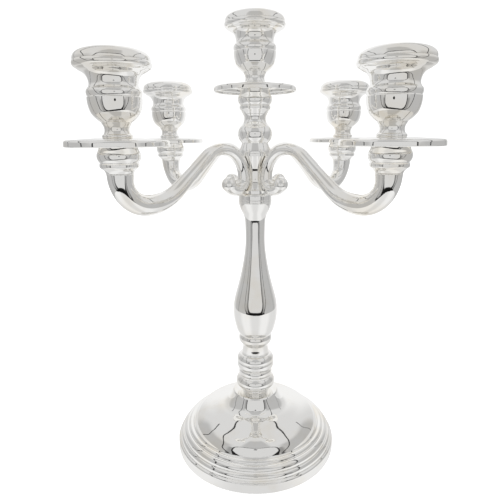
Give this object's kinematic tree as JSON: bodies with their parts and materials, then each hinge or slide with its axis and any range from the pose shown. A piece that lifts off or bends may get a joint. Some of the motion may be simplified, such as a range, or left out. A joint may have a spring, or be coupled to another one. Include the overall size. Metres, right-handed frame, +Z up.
{
  "type": "tabletop candelabra",
  "caption": "Polished silver-plated tabletop candelabra: scrolled arms and a raised centre light on a turned baluster stem, over a stepped domed base.",
  "frame": {"origin": "centre of the foot, on the surface that the candelabra stands on", "axes": "+Z up the stem to the centre light, +X to the right and +Y away when seen between two arms"},
  "size_m": [0.21, 0.21, 0.3294],
  "materials": {
    "silver_plate": "mirror polished silver plate",
    "steel_hardware": "zinc plated",
    "felt": "dark baize",
    "weight": "as cast"
  },
  "bodies": {
    "stand": {"arm_front_left": "silver_plate", "arm_front_right": "silver_plate", "arm_rear_left": "silver_plate", "arm_rear_right": "silver_plate", "baluster": "silver_plate", "base_nut": "steel_hardware", "base_shell": "silver_plate", "base_washer": "steel_hardware", "base_weight": "weight", "candle_cup_centre": "silver_plate", "candle_cup_front_left": "silver_plate", "candle_cup_front_right": "silver_plate", "candle_cup_rear_left": "silver_plate", "candle_cup_rear_right": "silver_plate", "collar_centre": "silver_plate", "collar_front_left": "silver_plate", "collar_front_right": "silver_plate", "collar_rear_left": "silver_plate", "collar_rear_right": "silver_plate", "column": "silver_plate", "drip_pan_centre": "silver_plate", "drip_pan_front_left": "silver_plate", "drip_pan_front_right": "silver_plate", "drip_pan_rear_left": "silver_plate", "drip_pan_rear_right": "silver_plate", "felt_pad": "felt", "flare_ring": "silver_plate", "foot_bead": "silver_plate", "hub": "silver_plate", "hub_ring": "silver_plate", "light_nuts": "steel_hardware", "light_studs": "steel_hardware", "stem_knop": "silver_plate", "stem_neck": "silver_plate", "tie_rod": "steel_hardware"},
    "nozzle_centre_body": {"nozzle_centre": "silver_plate"},
    "nozzle_front_left_body": {"nozzle_front_left": "silver_plate"},
    "nozzle_front_right_body": {"nozzle_front_right": "silver_plate"},
    "nozzle_rear_right_body": {"nozzle_rear_right": "silver_plate"},
    "nozzle_rear_left_body": {"nozzle_rear_left": "silver_plate"}
  },
  "joints": [
    {"name": "lift_nozzle_centre", "type": "slide", "parent": "stand", "child": "nozzle_centre_body", "axis": [0, 0, 1], "range_m": [0, 0.03]},
    {"name": "lift_nozzle_front_left", "type": "slide", "parent": "stand", "child": "nozzle_front_left_body", "axis": [0, 0, 1], "range_m": [0, 0.03]},
    {"name": "lift_nozzle_front_right", "type": "slide", "parent": "stand", "child": "nozzle_front_right_body", "axis": [0, 0, 1], "range_m": [0, 0.03]},
    {"name": "lift_nozzle_rear_right", "type": "slide", "parent": "stand", "child": "nozzle_rear_right_body", "axis": [0, 0, 1], "range_m": [0, 0.03]},
    {"name": "lift_nozzle_rear_left", "type": "slide", "parent": "stand", "child": "nozzle_rear_left_body", "axis": [0, 0, 1], "range_m": [0, 0.03]}
  ]
}
